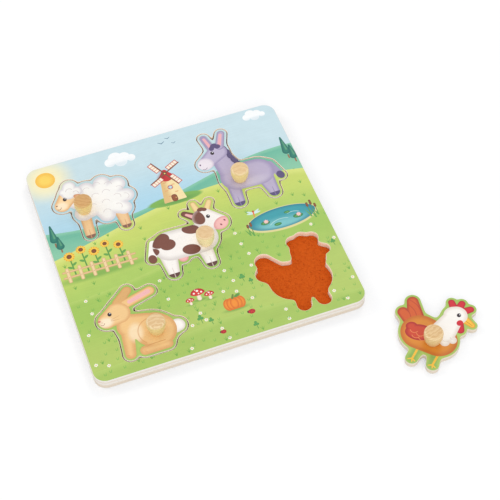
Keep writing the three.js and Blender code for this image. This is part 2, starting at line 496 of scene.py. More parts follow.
def panel(*given):
    *axes, half_width, half_height, taper, corner = given
    x, y = along_axes(*axes)
    lean = y / half_height * taper
    x = abs(x / (1.0 - lean)) - half_width + corner
    y = abs(y) - half_height + corner
    outside = length_of(x.apply("MAXIMUM", 0.0), y.apply("MAXIMUM", 0.0))
    return outside + x.apply("MAXIMUM", y).apply("MINIMUM", 0.0) - corner


def petals(*given):
    *axes, radius, count, depth = given
    x, y = along_axes(*axes)
    angle = y.apply("ARCTAN2", x) * (count * 0.5)
    lobe = abs(angle.apply("COSINE")) - 1.0
    edge = radius * lobe.times_plus(depth, 1.0)
    return length_of(x, y) - edge


def hill(point, level, height, stretch, shift):
    x, y = point.dot((1, 0, 0)), point.dot((0, 1, 0))
    wave = ((x - shift) / stretch).apply("SINE")
    return y - wave.times_plus(height, level)


def arc(*given):
    *axes, radius, half_width, cut = given
    x, y = along_axes(*axes)
    ring = abs(length_of(x, y) - radius) - half_width
    return ring.apply("MAXIMUM", cut - y)


for formula, inputs in [
    (limb, ["point", "start", "end", "start_radius", "end_radius"]),
    (oval, [*AXES, "least_radius"]),
    (panel, [*AXES, "half_width", "half_height", "taper", "corner"]),
    (petals, [*AXES, "radius", "count", "depth"]),
    (hill, ["point", "level", "height", "stretch", "shift"]),
    (arc, [*AXES, "radius", "half_width", "cut"]),
]:
    tree, given = new_group(formula.__name__, inputs)
    end_group(tree, formula(*given))
print("stencils:", [group.name for group in bpy.data.node_groups])

# %% [markdown]
# ## A print in the making
# A print keeps the point it looks at, in millimetres, and the colour laid so far. Laying a colour mixes it
# in where the stencil says inside; a soft edge works like an airbrush, shading darkens only a rim inside
# the edge, and painting does both. Each motif is drawn in a group of its own, so the landscape is drawn
# once and used by the board and by every piece.

# %% Describe a print
EDGE_SOFTNESS = 0.3


def new_material(name):
    material = bpy.data.materials.new(name)
    material.use_nodes = True
    return material, material.node_tree


class Print:
    def __init__(self, name, place=(0, 0), turn=0.0, home=(0, 0)):
        self.material, self.tree = new_material(name)
        spot = wire(self.tree, "TexCoord", out=3)
        where = (place[0] * MM, place[1] * MM, 0)
        flat = wire(self.tree, "Mapping", spot, where, (0, 0, turn), (MM, MM, MM), vector_type="TEXTURE")
        self.figure_point = flat * (1, 1, 0)
        self.board_point = self.figure_point + (*home, 0)
        self.colour = srgb(255, 255, 255)

    def turned(self, kind, x, y, turn, values, width=1.0, height=1.0):
        cos, sin = math.cos(math.radians(turn)), math.sin(math.radians(turn))
        across, up = (cos / width, sin / width, 0), (-sin / height, cos / height, 0)
        return use_group(self.tree, kind, self.point, (x, y, 0), across, up, *values)

    def limb(self, x, y, radius, end_x, end_y, end_radius):
        return use_group(self.tree, "limb", self.point, (x, y, 0), (end_x, end_y, 0), radius, end_radius)

    def hill(self, level, height, stretch, shift):
        return use_group(self.tree, "hill", self.point, level, height, stretch, shift)

    def oval(self, x, y, width, height=None, turn=0):
        height = height or width
        return self.turned("oval", x, y, turn, [min(width, height)], width, height)

    def dots(self, x, y, size, rows):
        return [self.oval(x + dx * size, y + dy * size, radius * size) for dx, dy, radius in rows]

    def panel(self, x, y, half_width, half_height, turn=0, taper=0.0, corner=0.5):
        corner = min(corner, half_width, half_height)
        return self.turned("panel", x, y, turn, [half_width, half_height, taper, corner])

    def petals(self, x, y, radius, count=5, depth=0.45, turn=90):
        return self.turned("petals", x, y, turn, [radius, count, depth])

    def arc(self, x, y, radius, half_width=0.4, turn=0, cut=0.0):
        return self.turned("arc", x, y, turn, [radius, half_width, cut])

    def inside(self, shape, soft=EDGE_SOFTNESS):
        return shape.spread(soft / 2, -soft / 2, smooth=True)

    def mix_in(self, colour, share, strength, within):
        if strength != 1:
            share = share * strength
        if within is not None:
            share = share * within
        self.colour = share.mix(self.colour, srgb(*colour))

    def lay(self, colour, *shapes, soft=EDGE_SOFTNESS, strength=1.0, within=None):
        whole = shapes[0]
        for shape in shapes[1:]:
            whole = whole.apply("MINIMUM", shape)
        self.mix_in(colour, self.inside(whole, soft), strength, within)
        return whole

    def shade(self, colour, shape, width, strength, within=None):
        rim = shape.spread(-width, 0.0, smooth=True) * self.inside(shape)
        self.mix_in(colour, rim, strength, within)

    def paint(self, colour, rim, width, strength, *shapes, soft=EDGE_SOFTNESS, within=None):
        whole = self.lay(colour, *shapes, soft=soft, within=within)
        self.shade(rim, whole, width, strength, within)
        return whole

    def motif(self, draw, point):
        name = draw.__name__
        outer, colour = self.tree, self.colour
        if name not in bpy.data.node_groups:
            self.tree, (self.point, self.colour) = new_group(name, ["point", "colour"], "Color")
            draw(self)
            end_group(self.tree, self.colour)
            self.tree = outer
        self.colour = use_group(outer, name, point, colour)


print("a print can lay, shade, paint and take a motif")

# %% [markdown]
# ## The landscape
# The picture on the board is a plain farm landscape: a pale sky, a far hill, a lime slope, a meadow and a
# strip of foreground, each a sine crest with an airbrushed light edge and a deeper foot. Grass tufts and
# daisies are scattered by dividing the meadow into cells, each with its own dice; the seed of the daisies
# is one whose flowers all miss the saw cuts. Pieces call the same function for their margins.

# %% Print the landscape
FAR_HILL, SLOPE, MEADOW = (52, 15, 55, 20), (24, 20, 75, -75), (-22, 12, 60, -20)
HILLS = [
    ((104, 182, 156), FAR_HILL, (146, 204, 168), (38, 15, 52, 20), 34, 0.8, (160, 214, 180), 5, 0.5),
    ((201, 215, 106), SLOPE, (170, 203, 98), (-6, 20, 75, -75), 44, 0.9, (224, 229, 132), 9, 0.7),
    ((163, 198, 92), MEADOW, (184, 204, 106), (-62, 16, 70, 40), 46, 0.8, (190, 213, 112), 6, 0.6),
]


def print_landscape(art):
    art.colour = srgb(201, 224, 230)
    art.lay((172, 214, 233), art.oval(-40, 34, 130, 34), soft=60)
    art.lay((252, 240, 190), art.oval(-104, 104, 20), soft=22, strength=0.9)
    for colour, crest, foot_colour, foot_crest, soft, strength, light, *rim in HILLS:
        ground = art.lay(colour, art.hill(*crest))
        art.lay(foot_colour, art.hill(*foot_crest), soft=soft, strength=strength)
        art.shade(light, ground, *rim)
    art.paint((168, 197, 96), (190, 212, 114), 7, 0.5, art.hill(-102, 7, 46, -60), soft=1.6)


print(len(HILLS), "hills behind the foreground")

# %% Scatter the grass
TUFTS, DAISIES, STUBBLE = (15, 3, 0.5), (11, 7770, 0.2), (9, 21, 0.6)
COLUMN_STRIDE, ROW_STRIDE, DICE_SHIFTS = 17, 131, (0, 37, 71)


def scatter(art, board_point, ground, cell, seed, share):
    column, row = [board_point.dot(axis).apply("FLOOR") for axis in ((1 / cell, 0, 0), (0, 1 / cell, 0))]
    dice, spot = [], []
    for shift in DICE_SHIFTS:
        number = row.times_plus(ROW_STRIDE, column.times_plus(COLUMN_STRIDE, seed + shift))
        dice.append(wire(art.tree, "TexWhiteNoise", None, number, noise_dimensions="1D"))
    for count, chance in zip((column, row), dice):
        spot.append(chance.times_plus(0.5, count + 0.25) * cell)
    art.point = board_point - wire(art.tree, "CombineXYZ", *spot)
    return dice[2].apply("LESS_THAN", share) * ground


def print_grass(art):
    point = art.point
    slope, meadow = [art.inside(art.hill(*crest), 4) for crest in (SLOPE, MEADOW)]
    some = scatter(art, point, slope, *TUFTS)
    blades = [art.limb(0, -1.6, 0.45, lean, 2.2 - abs(lean) * 0.4, 0.1) for lean in (-1.8, 0, 1.8)]
    art.lay((116, 172, 74), *blades, within=some)
    some = scatter(art, point, meadow, *DAISIES)
    art.lay((252, 250, 244), art.petals(0, 0, 1.7, 6, 0.5), within=some)
    art.lay((240, 190, 60), art.oval(0, 0, 0.6), within=some)
    some = scatter(art, point, meadow, *STUBBLE)
    blades = [art.limb(-0.7, -1, 0.3, -1.2, 1.2, 0.1), art.limb(0.3, -1, 0.3, 0.9, 1.5, 0.1)]
    art.lay((112, 178, 80), *blades, within=some)


print("scattered cells of", TUFTS[0], DAISIES[0], "and", STUBBLE[0], "mm")

# %% [markdown]
# ## Sky and trees
# The sky has a sun with a soft glow, puffy clouds and far birds, and slim trees stand at both sides. Each
# cloud is a few ovals joined into one shape and then shaded below, which is how an airbrush would do it.

# %% Print the sky and the trees
CLOUDS = [(-34, 104, 1.0), (99, 111, 0.75)]
PUFFS = [(-9, -1, 5), (-3, 3, 6.5), (5, 1.5, 5.5), (11, -1.5, 4), (1, -2.5, 6)]
CYPRESSES = [(112.5, 66, 13), (117, 57, 10), (-114, 42, 12), (-110.5, 31, 8)]
BIRDS = [(8, 108, 1.0), (15, 112, 0.75), (19, 105, 0.6)]


def print_sky(art):
    art.paint((253, 214, 96), (246, 178, 60), 6, 0.6, art.oval(-104, 104, 9))
    for x, y, size in CLOUDS:
        cloud = art.lay((250, 251, 250), *art.dots(x, y, size, PUFFS))
        below = art.oval(x + 1, y - 7 * size, 15 * size, 4 * size)
        art.lay((216, 230, 236), below, soft=6 * size, strength=0.7, within=art.inside(cloud))
    for x, y, size in BIRDS:
        wings = [art.limb(x, y, 0.5 * size, x + side * 3 * size, y + 2 * size, 0.25) for side in (-1, 1)]
        art.lay((110, 140, 160), *wings)


def print_cypresses(art):
    for x, y, tall in CYPRESSES:
        art.lay((150, 108, 74), art.panel(x, y - tall - 1, 0.7, 2.4))
        crown = art.limb(x, y - tall * 0.55, 3.6, x, y + tall * 0.75, 0.8)
        art.paint((46, 128, 110), (28, 98, 92), 2.6, 0.7, crown)
        gleam = art.limb(x + 0.9, y - tall * 0.4, 0.8, x + 0.4, y + tall * 0.4, 0.3)
        art.lay((110, 178, 132), gleam, soft=1.6, strength=0.7, within=art.inside(crown))


print(len(CLOUDS), "clouds,", len(CYPRESSES), "trees,", len(BIRDS), "birds")

# %% [markdown]
# ## The windmill
# Between the two upper cut-outs stands a windmill. The tower is a tapered panel with courses of brick and
# a shaded side, and its sails are one design turned four times: a spar, a red frame, a pale cloth and thin
# laths.

# %% Print the windmill
HUB = (0.0, 73.0)
SAIL_LENGTH, CLOTH_REACH, CLOTH_SIDE, SAIL_TILT = 18.0, 11.5, 2.6, 28
BRICKS = [(-3, 46), (4, 49.5), (-4.5, 53), (3.2, 58.5), (-3.4, 62.5), (2.6, 66)]
RED, LINEN, BRASS = (198, 48, 52), (252, 240, 218), (240, 206, 120)


def print_sail(art, angle):
    cos, sin = math.cos(math.radians(angle)), math.sin(math.radians(angle))
    tip = (HUB[0] + SAIL_LENGTH * cos, HUB[1] + SAIL_LENGTH * sin)
    middle_x = HUB[0] + CLOTH_REACH * cos - CLOTH_SIDE * sin
    middle_y = HUB[1] + CLOTH_REACH * sin + CLOTH_SIDE * cos
    art.lay((196, 52, 52), art.panel(middle_x, middle_y, 6.2, 2.5, angle, corner=0.3))
    cloth = art.lay(LINEN, art.panel(middle_x, middle_y, 5.5, 1.8, angle, corner=0.2))
    for step in (-2.8, 0, 2.8):
        lath = art.panel(middle_x + step * cos, middle_y + step * sin, 0.25, 2.0, angle, corner=0.1)
        art.lay((206, 120, 84), lath, within=art.inside(cloth))
    art.lay((132, 82, 58), art.limb(*HUB, 0.8, *tip, 0.45))


def print_windmill(art):
    art.lay((126, 178, 84), art.oval(0, 41, 25, 5.4), soft=1.2)
    art.lay((92, 146, 74), art.oval(3, 39.5, 13, 2.4), soft=4, strength=0.7)
    tower = art.lay((248, 226, 170), art.panel(0, 55, 8.2, 15.5, 0, 0.28, 0.8))
    on_tower = art.inside(tower)
    art.lay((222, 178, 112), art.panel(-7.5, 54, 5, 18), soft=7, strength=0.8, within=on_tower)
    bricks = [art.panel(x, y, 1.5, 0.6, corner=0.3) for x, y in BRICKS]
    art.lay((226, 164, 110), *bricks, within=on_tower, strength=0.8)
    art.lay(RED, art.limb(0, 70, 6.6, 0, 75, 2.6))
    art.lay((158, 30, 44), art.limb(-4, 70, 3.4, -2, 75.5, 1), soft=4, strength=0.6)
    art.paint((150, 84, 52), (110, 56, 40), 1.4, 0.7, art.limb(0, 41.5, 2.7, 0, 44.5, 2.7))
    art.lay(BRASS, art.oval(1.3, 43, 0.45))
    art.lay(RED, art.oval(0, 56, 2.5))
    art.lay((120, 190, 214), art.oval(0, 56, 1.8))
    art.lay(LINEN, art.panel(0, 56, 0.25, 2), art.panel(0, 56, 2, 0.25))
    for quarter in range(4):
        print_sail(art, SAIL_TILT + 90 * quarter)
    art.lay((96, 60, 46), art.oval(*HUB, 1.7))
    art.lay(BRASS, art.oval(*HUB, 0.8))


print("sails reach", SAIL_LENGTH, "mm from the hub")

# %% [markdown]
# ## The pond
# The pond fills the right of the meadow. It is one oval with a sandy bank, a deep far side and two light
# ripples. Lily leaves, reeds and a dragonfly are small shapes with the same shading, so that they look
# painted by one hand.

# %% Print the pond
POND, DRAGONFLY = (82.0, -12.0), (60.0, 1.0)
LILIES = [(66, -13, 4.2, 1), (76, -18, 3.4, 0), (96, -15, 4.6, 1), (88, -8, 2.8, 0)]
REEDS = [(107, -20, 15), (110.5, -22, 19), (113.5, -20, 12), (49.5, -21, 11), (52.5, -22.5, 14)]
WINGS = [(-2.6, 1.6, 150), (-2.8, 0.2, 172), (2.8, 1.6, 30), (3, 0.2, 8)]


def print_pond(art):
    x, y = POND
    art.lay((226, 216, 150), art.oval(x, y - 0.8, 32.5, 12.8), soft=0.8)
    pond = art.lay((60, 158, 168), art.oval(x, y, 31, 11.3))
    in_pond = art.inside(pond)
    art.lay((134, 204, 204), art.oval(x - 4, y - 8, 26, 7), soft=9, strength=0.8, within=in_pond)
    art.shade((34, 118, 142), pond, 3.2, 0.7)
    ripples = [art.arc(x - 2, y - 18, 17, 0.3, 8, 14.5), art.arc(x + 10, y - 8, 11, 0.3, -6, 9.6)]
    art.lay((196, 232, 228), *ripples, strength=0.8, within=in_pond)
    for x, y, size, flower in LILIES:
        leaf = art.paint((74, 150, 84), (40, 112, 74), 1.2, 0.7, art.oval(x, y, size, size * 0.5))
        art.lay((140, 196, 112), art.panel(x, y, size * 0.7, 0.16, 8), within=art.inside(leaf))
        if flower:
            art.lay((246, 178, 190), art.petals(x + 1, y + 1.2, 2.3, 7, 0.5))
            art.lay((252, 226, 226), art.petals(x + 1, y + 1.3, 1.4, 7, 0.5, 64))
            art.lay((246, 196, 72), art.oval(x + 1, y + 1.2, 0.6))


def print_reeds(art):
    for x, y, tall in REEDS:
        art.lay((84, 144, 72), art.limb(x, y, 0.4, x + 0.6, y + tall, 0.3))
        art.lay((102, 166, 80), art.limb(x, y, 0.8, x - 3, y + tall * 0.6, 0.15))
        head = art.limb(x + 0.5, y + tall * 0.8, 1.1, x + 0.6, y + tall, 1)
        art.paint((142, 88, 54), (98, 56, 38), 0.8, 0.8, head)


def print_dragonfly(art):
    x, y = DRAGONFLY
    wings = [art.oval(x + dx, y + dy, 3.4, 0.9, turn) for dx, dy, turn in WINGS]
    art.lay((214, 236, 240), *wings, strength=0.9)
    art.lay((236, 120, 70), art.limb(x, y + 1.6, 0.8, x - 0.6, y - 4, 0.35))
    art.lay((196, 66, 60), art.oval(x + 0.1, y + 2.4, 0.9))


print(len(LILIES), "lily leaves and", len(REEDS), "reeds round the pond")

# %% [markdown]
# ## The fence
# A rail fence with sunflowers stands on the left slope, between two cut-outs. Posts and rails are panels
# and limbs in loops. The flowers are rings of petals of two yellows, one turned between the other.

# %% Print the fence
POSTS = range(-112, -56, 11)
SUNFLOWERS = [(-106.5, 13, 5.2), (-95, 17, 4.6), (-84.5, 11.5, 5), (-73.5, 16, 4.2), (-62.5, 11, 4.6)]


def print_fence(art):
    art.lay((120, 170, 76), art.oval(-85, -13, 36, 3.4), soft=5, strength=0.8)
    for x, y, size in SUNFLOWERS:
        art.lay((92, 150, 72), art.limb(x, y, 0.55, x + 0.8, -9, 0.7))
        leaves = [art.oval(x + 2.4, y - 9, 2.6, 1.2, 32), art.oval(x - 1.8, y - 12, 2.6, 1.2, 150)]
        art.lay((104, 164, 78), *leaves)
        art.lay((240, 170, 48), art.petals(x, y, size, 12, 0.35, 15))
        art.lay((252, 206, 78), art.petals(x, y, size * 0.88, 12, 0.35, 0))
        art.paint((134, 78, 44), (92, 48, 34), 0.9, 0.7, art.oval(x, y, size * 0.45))
    rails = [art.limb(-116, y, 1.1, -52, y - 1, 1.1) for y in (-2.5, -8.5)]
    art.paint((232, 196, 142), (196, 146, 98), 0.8, 0.8, *rails)
    for x in POSTS:
        art.paint((244, 214, 164), (204, 154, 104), 1.1, 0.8, art.panel(x, -6.5, 1.6, 8, 0, 0.0, 1.2))
        art.lay((150, 104, 70), art.oval(x, -2.8, 0.35), art.oval(x, -8.8, 0.35))


print(len(POSTS), "posts and", len(SUNFLOWERS), "sunflowers")

# %% [markdown]
# ## The garden
# Small things at the front give a baby something to find: toadstools, a pumpkin, ladybirds and clover.
# They stay small and lie apart from the cut-outs.

# %% Print the garden
TOADSTOOLS = [(-14, -64, 1.0), (-5, -68, 0.7), (-22.5, -69, 0.6)]
CAP_SPOTS = [(-3.2, 1.4, 0.9), (0.2, 3.2, 1.1), (3.3, 1.2, 0.9), (0.6, 0.2, 0.7), (-1.4, 4.6, 0.5)]
PUMPKIN = (12, -84)
LADYBIRDS = [(23, -97, 1.0), (-6, -108, 0.8)]
SHELL_DOTS = [(0.4, 1.1, 0.45), (0.4, -1.1, 0.45), (-1.2, 0.7, 0.45), (-1.2, -0.7, 0.45), (1.7, 0, 0.45)]
CLOVERS = [(-20, -88, 3.0), (-12, -93, 2.4), (27, -60, 2.8), (33, -66, 2.2),
           (22, -110, 2.6), (114, -52, 2.4)]


def print_toadstool(art, x, y, size):
    art.lay((110, 160, 72), art.oval(x, y - 6.4 * size, 6 * size, 1.4 * size), soft=1.5, strength=0.7)
    stalk = art.limb(x, y - 5 * size, 2 * size, x, y, 1.5 * size)
    art.paint((250, 238, 216), (222, 192, 158), 1.2 * size, 0.8, stalk)
    above = art.inside(art.oval(x, y + 8.3 * size, 10 * size))
    cap = art.oval(x, y, 6.5 * size, 5.6 * size)
    art.paint((214, 52, 50), (160, 28, 42), 2.2 * size, 0.7, cap, within=above)
    art.lay((255, 244, 234), *art.dots(x, y, size, CAP_SPOTS), within=above)


def print_pumpkin(art, x, y):
    art.lay((104, 156, 70), art.oval(x, y - 5.8, 10, 1.8), soft=2, strength=0.7)
    for dx, width in ((-5.2, 4.4), (5.2, 4.4), (-2.6, 4.2), (2.6, 4.2), (0, 3.6)):
        art.paint((242, 146, 52), (206, 92, 36), 2.2, 0.7, art.oval(x + dx, y, width, 6.2))
    art.lay((112, 136, 62), art.limb(x, y + 5.6, 1.1, x + 1.4, y + 8.6, 0.8))
    art.lay((92, 150, 72), art.oval(x + 4.6, y + 7, 3, 1.4, 20))


def print_ladybird(art, x, y, size):
    art.lay((60, 44, 48), art.oval(x - 2.6 * size, y + 0.3, 1.4 * size))
    art.paint((216, 50, 48), (156, 26, 42), 1.1, 0.7, art.oval(x, y, 3 * size, 2.4 * size))
    art.lay((60, 44, 48), *art.dots(x, y, size, SHELL_DOTS))


def print_garden(art):
    for toadstool in TOADSTOOLS:
        print_toadstool(art, *toadstool)
    print_pumpkin(art, *PUMPKIN)
    for ladybird in LADYBIRDS:
        print_ladybird(art, *ladybird)
    for x, y, size in CLOVERS:
        art.lay((82, 146, 70), art.limb(x, y, 0.3, x + 0.5, y - 2 * size, 0.25))
        art.paint((92, 164, 84), (56, 126, 68), 0.9, 0.6, art.petals(x, y, size, 3, 0.6))


print(len(TOADSTOOLS), "toadstools and", len(CLOVERS), "clovers")

# %% [markdown]
# ## Painting the animals
# Each animal is painted from the limbs that its saw cut came from: first a soft ground shade round the
# figure, then the far legs and tails, the coat, and last the head. Every coat gets a darker rim, as from
# an airbrush.

# %% Helpers for the animals
def figure_stencils(art, animal):
    part = {name: art.limb(*row) for name, row in LIMBS[animal].items()}
    art.lay((92, 150, 70), *part.values(), soft=5, strength=0.5)
    return part


def print_legs(art, part, hooves, coat, rim, hoof):
    legs = art.paint(coat, rim, 3, 0.7, part["front_legs"], part["hind_legs"])
    for x, y in hooves:
        art.lay(hoof, art.panel(x, y, 7, 2.6), within=art.inside(legs))
        art.lay(rim, art.limb(x, y + 9, 0.15, x, y - 4, 0.45), within=art.inside(legs))


def print_eye(art, x, y, size=1.75):
    art.lay((50, 38, 44), art.oval(x, y, size, size * 1.15))
    art.lay((255, 255, 255), art.oval(x + 0.32 * size, y + 0.45 * size, size * 0.27))


print("limbs to paint:", sum(len(limbs) for limbs in LIMBS.values()))

# %% Paint the sheep
WOOLLY = ["neck", "withers", "back", "croup", "rump", "flank", "belly", "chest"]
CURLS = [(-4, 17, 20), (6, 20, 0), (16, 17, -20), (24, 9, -50), (27, -1, -80), (12, 9, 0), (2, 8, 10),
         (20, 1, -40), (9, -2, 0), (-3, -3, 20), (18, -10, -60), (7, -13, 0), (-8, 6, 30), (-11, -6, 40)]


def print_sheep(art):
    part = figure_stencils(art, "sheep")
    wool, wool_rim, curl = (250, 247, 241), (206, 198, 206), (214, 204, 202)
    print_legs(art, part, [(-14, -35), (19, -35)], (240, 200, 148), (206, 150, 104), (138, 98, 82))
    coat = art.paint(wool, wool_rim, 5.5, 0.7, *(part[name] for name in WOOLLY))
    curls = [art.arc(x, y, 3.4, 0.32, turn, 0.6) for x, y, turn in CURLS]
    art.lay(curl, *curls, within=art.inside(coat), strength=0.8)
    head = art.paint((249, 212, 158), (222, 162, 108), 3.4, 0.7, part["head"])
    art.lay((254, 234, 202), art.oval(-29.5, 7.5, 5, 4.2), soft=4, strength=0.9, within=art.inside(head))
    art.lay((118, 74, 64), art.oval(-33.8, 9.2, 0.9, 0.6, 30), art.arc(-32.6, 6.4, 2, 0.25, 200, 0.6))
    art.paint(wool, wool_rim, 3, 0.7, part["topknot"], art.oval(-24.5, 22.5, 4), art.oval(-13, 20, 5.5))
    art.lay(curl, art.arc(-19, 22, 3, 0.3, 10, 0.6), art.arc(-14, 18, 2.6, 0.3, -30, 0.5))
    art.paint((236, 178, 128), (206, 136, 96), 1.4, 0.8, art.oval(-12, 13, 5.4, 2.7, -30))
    print_eye(art, -25.2, 14.2)


print(len(CURLS), "curls on the sheep")

# %% Paint the donkey
MANE = [(1.0, -3), (0.2, 2.5), (-1.4, 8), (-3, 13.5), (-4.6, 19), (-6.6, 24)]
FORELOCK = [(-14, 30.5, 3.4, 2.6, 20), (-16.5, 28, 2.4, 3, -30), (-11, 28.6, 3, 2.6)]


def print_donkey(art):
    part = figure_stencils(art, "donkey")
    grey, rim, dark = (188, 176, 202), (138, 124, 166), (92, 80, 120)
    art.lay((164, 152, 184), part["far_ear"], part["tail"])
    art.lay(dark, art.oval(32, -23.5, 3.6, 4.6, 10))
    print_legs(art, part, [(-13, -43), (20, -43)], grey, rim, dark)
    coat = art.paint(grey, rim, 6, 0.6, part["body"], part["neck"])
    art.lay((214, 205, 222), art.oval(4, -22, 15, 5), soft=7, strength=0.7, within=art.inside(coat))
    art.paint(dark, (66, 56, 94), 1.6, 0.7, *(art.oval(x, y, 3, 4.2, 20) for x, y in MANE))
    head = art.paint((194, 183, 208), rim, 3.4, 0.6, part["head"])
    muzzle = art.lay((238, 228, 234), art.oval(-28.5, 11.6, 8, 7.4), soft=1.6, within=art.inside(head))
    art.shade((206, 190, 208), muzzle, 2.4, 0.6, within=art.inside(head))
    art.paint((182, 170, 198), rim, 1.6, 0.8, part["near_ear"])
    inner_ears = [art.limb(-8.4, 30, 1.7, -3.8, 41, 1.5), art.limb(-17.4, 30, 1.5, -19.8, 41, 1.3)]
    art.lay((240, 178, 184), *inner_ears, soft=0.8)
    art.lay(dark, *(art.oval(*tuft) for tuft in FORELOCK))
    art.lay((110, 84, 112), art.oval(-32.6, 12.6, 0.7, 1), art.arc(-30, 8.8, 2.6, 0.25, 190, 1.4))
    print_eye(art, -17.8, 22.4)


print(len(MANE), "tufts in the mane")

# %% Paint the cow
PATCHES = [(-24, 4, 9, 7, 30), (-19, -2, 7, 6, 0), (-1, -14, 8, 5.5, -15), (5, 7, 8, 5, -20),
           (-33, -6, 5, 4, 0)]


def print_cow(art):
    part = figure_stencils(art, "cow")
    white, rim, brown = (251, 245, 238), (214, 194, 186), (124, 74, 60)
    art.lay(white, part["tail"])
    art.lay(brown, art.oval(-36, -12.6, 3.8, 4.8))
    print_legs(art, part, [(11, -36), (-23, -36)], white, rim, (98, 64, 58))
    art.paint((247, 184, 180), (222, 140, 142), 2.2, 0.7, part["udder"])
    coat = art.lay(white, part["body"])
    on_coat = art.inside(coat)
    art.lay(brown, *(art.oval(*patch) for patch in PATCHES), soft=0.5, within=on_coat)
    art.shade((96, 56, 52), coat, 6, 0.28)
    art.paint(brown, (88, 48, 44), 1.6, 0.7, part["ear"])
    art.lay((244, 180, 176), art.limb(11, 19.6, 1.8, 6.4, 23.6, 1.2), soft=0.8)
    art.paint((246, 216, 154), (208, 160, 100), 1.6, 0.8, part["near_horn"], part["far_horn"])
    head = art.lay(white, part["head"])
    on_head = art.inside(head)
    art.lay(brown, art.oval(14.5, 17.5, 6, 9, 20), soft=0.5, within=on_head)
    art.shade(rim, head, 3.4, 0.5)
    muzzle = art.oval(33, 4, 8.4, 6.2, 35)
    art.paint((247, 190, 184), (222, 144, 146), 2.4, 0.7, muzzle, soft=0.5, within=on_head)
    art.lay((150, 84, 92), art.oval(36.4, 6.4, 0.8, 1.2, 30), art.oval(32, 2.6, 0.8, 1.2, 30))
    art.lay(brown, art.oval(20, 25, 3.2, 2.2, 10), art.oval(23, 24, 2.6, 2, -20))
    print_eye(art, 24, 15.4)


print(len(PATCHES), "patches on the cow")

# %% Paint the rabbit
TOE_LINES = [(-4.4, -31), (-4, -33), (-19, -31.4), (-18.6, -33)]
WHISKERS = [(-29, 8, -35.5, 10), (-29, 7, -35, 6.6), (-22, 7.5, -14.5, 9.5), (-22, 6.5, -14.5, 6)]


def print_rabbit(art):
    part = figure_stencils(art, "rabbit")
    tan, rim = (243, 198, 134), (212, 148, 88)
    art.paint((224, 174, 110), rim, 1.8, 0.7, part["far_ear"])
    art.paint((253, 248, 240), (220, 206, 196), 3, 0.7, part["tail"])
    body = [part[name] for name in ("haunch", "chest", "front_leg", "hind_foot")]
    on_coat = art.inside(art.paint(tan, rim, 5, 0.65, *body))
    art.lay((252, 228, 188), art.oval(-6, -12, 6, 9, -12), soft=5, strength=0.9, within=on_coat)
    art.lay(rim, art.arc(9, -15, 13.5, 0.45, 55, 2), soft=0.8, strength=0.6, within=on_coat)
    toes = [art.limb(x, y, 0.25, x + 1.6, y - 0.6, 0.2) for x, y in TOE_LINES]
    art.lay(rim, *toes, art.limb(0, -27.5, 0.3, 15, -27.2, 0.3), within=on_coat, strength=0.9)
    art.paint(tan, rim, 1.8, 0.7, part["near_ear"])
    art.lay((246, 186, 182), art.limb(-2, 20, 2, 15.5, 24.8, 2.4), soft=0.9)
    head = art.paint((245, 203, 142), rim, 3.6, 0.6, part["head"])
    art.lay((254, 236, 206), art.oval(-27, 6.4, 6, 4.6), soft=4, strength=0.9, within=art.inside(head))
    art.lay((222, 120, 118), art.oval(-31.8, 9.2, 1.3, 0.95))
    art.lay((150, 96, 72), art.arc(-29.8, 6.4, 1.8, 0.22, 190, 0.4))
    whiskers = [art.limb(x, y, 0.2, end_x, end_y, 0.1) for x, y, end_x, end_y in WHISKERS]
    art.lay((190, 132, 92), *whiskers, strength=0.8)
    print_eye(art, -21.6, 13.4)


print(len(WHISKERS), "whiskers on the rabbit")

# %% Paint the hen
HACKLE = [(1.5, -4, 4), (7, -7.5, 4.2), (13.5, -8, 4.2), (19, -4, 3.6)]
TOES = [(-6.6, -33, -9.8, -34.6), (-6.6, -33, -6, -36), (-6.6, -33, -3.8, -34.8)]
WING_FEATHERS = [(-14, -5), (-8, -6.5), (-2, -6), (-11, -9.5), (-5, -10)]
LEGS_APART = 17.6
RED_PARTS = ["back_comb", "mid_comb", "front_comb", "wattle"]


def print_hen(art):
    part = figure_stencils(art, "hen")
    red, dark_red = (210, 40, 54), (160, 22, 44)
    for shift in (0, LEGS_APART):
        toes = [art.limb(x + shift, y, 0.75, end_x + shift, end_y, 0.5) for x, y, end_x, end_y in TOES]
        art.lay((246, 190, 64), art.limb(-5 + shift, -20, 1, -6.6 + shift, -33, 0.9), *toes)
    tail = art.paint((214, 96, 46), (170, 54, 40), 3, 0.8, part["upper_tail"], part["lower_tail"])
    plumes = [art.arc(-30, 2, radius, 0.3, -35, radius * 0.55) for radius in (10, 15, 20)]
    art.lay((176, 60, 42), *plumes, within=art.inside(tail), strength=0.8)
    art.paint((224, 142, 50), (190, 92, 38), 6, 0.7, part["body"])
    wing = [art.oval(-9, -6.5, 12, 8, 14), art.oval(-17, -3, 5, 4.4, 30)]
    wing = art.paint((208, 74, 48), dark_red, 3, 0.7, *wing)
    feathers = [art.arc(x, y, 3.4, 0.3, 185, 1.2) for x, y in WING_FEATHERS]
    art.lay((240, 150, 90), *feathers, within=art.inside(wing), strength=0.8)
    art.paint(red, dark_red, 1.8, 0.7, *(part[name] for name in RED_PARTS))
    art.paint((248, 194, 66), (222, 136, 40), 1.6, 0.8, part["beak"])
    art.lay((190, 104, 36), art.limb(22.5, 18.6, 0.25, 30, 15.8, 0.2))
    ruff = [art.oval(*feather) for feather in HACKLE]
    art.paint((251, 246, 238), (226, 208, 194), 4, 0.7, part["neck"], part["head"], *ruff)
    art.lay((222, 204, 190), *(art.arc(x, y + 3.4, 3, 0.25, 180, 1.2) for x, y, _ in HACKLE), strength=0.7)
    art.lay(red, art.oval(19.6, 14.6, 2.6, 3, -20))
    print_eye(art, 16.6, 21.8)


print(len(HACKLE), "feathers in the ruff")

